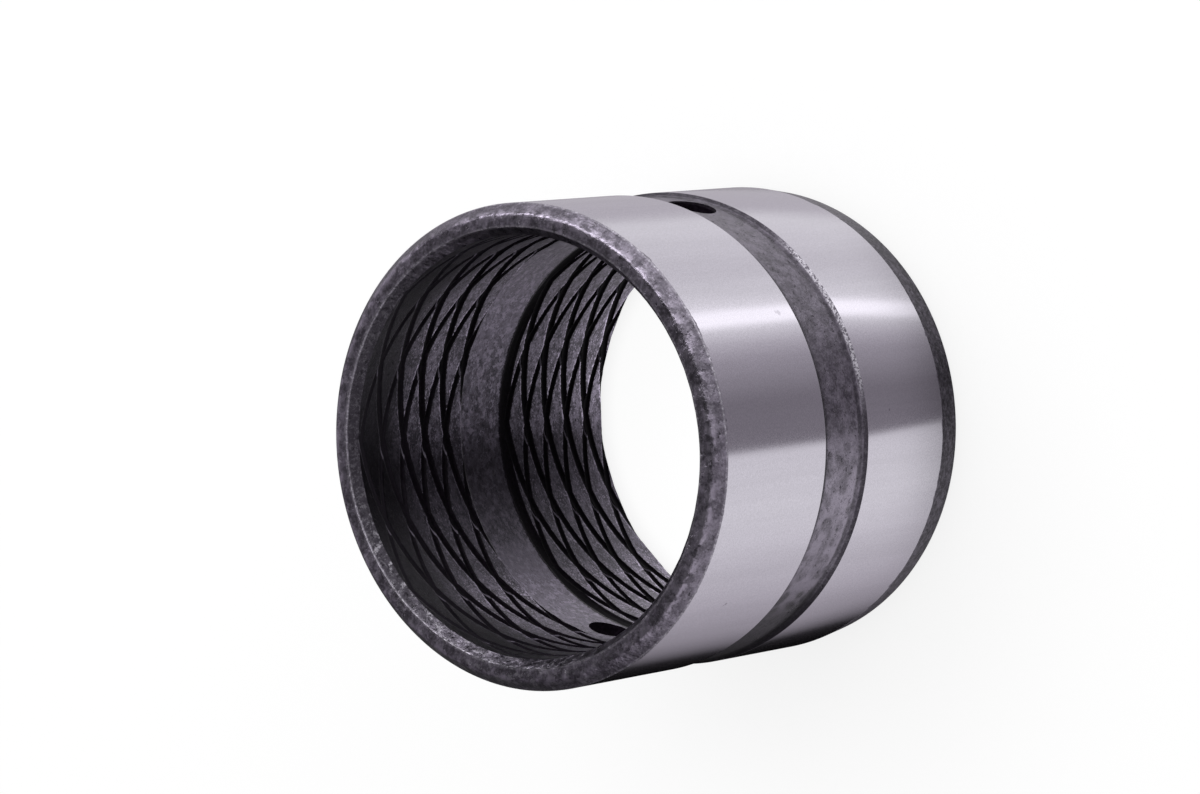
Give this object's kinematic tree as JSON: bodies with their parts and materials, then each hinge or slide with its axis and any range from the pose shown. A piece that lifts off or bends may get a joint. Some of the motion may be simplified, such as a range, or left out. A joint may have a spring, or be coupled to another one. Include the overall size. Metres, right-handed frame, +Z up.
{
  "type": "bushing",
  "caption": "Heavy hardened steel bushing with two ground outer lands, a shallow outer oil groove, radial oil holes, and a bore with crossing oil grooves either side of a plain relief.",
  "frame": {"origin": "centre of the foot face, where the bore's axis meets the plane that the bushing stands on", "axes": "+Z up along the bore's axis, from the lead-in end to the end with the wide chamfer; the two oil holes lie on one line along X"},
  "size_m": [0.115, 0.115, 0.102],
  "materials": {
    "steel": "dark hardened steel skin, with the outer lands ground bright"
  },
  "bodies": {
    "root": {"bushing": "steel"}
  },
  "joints": []
}
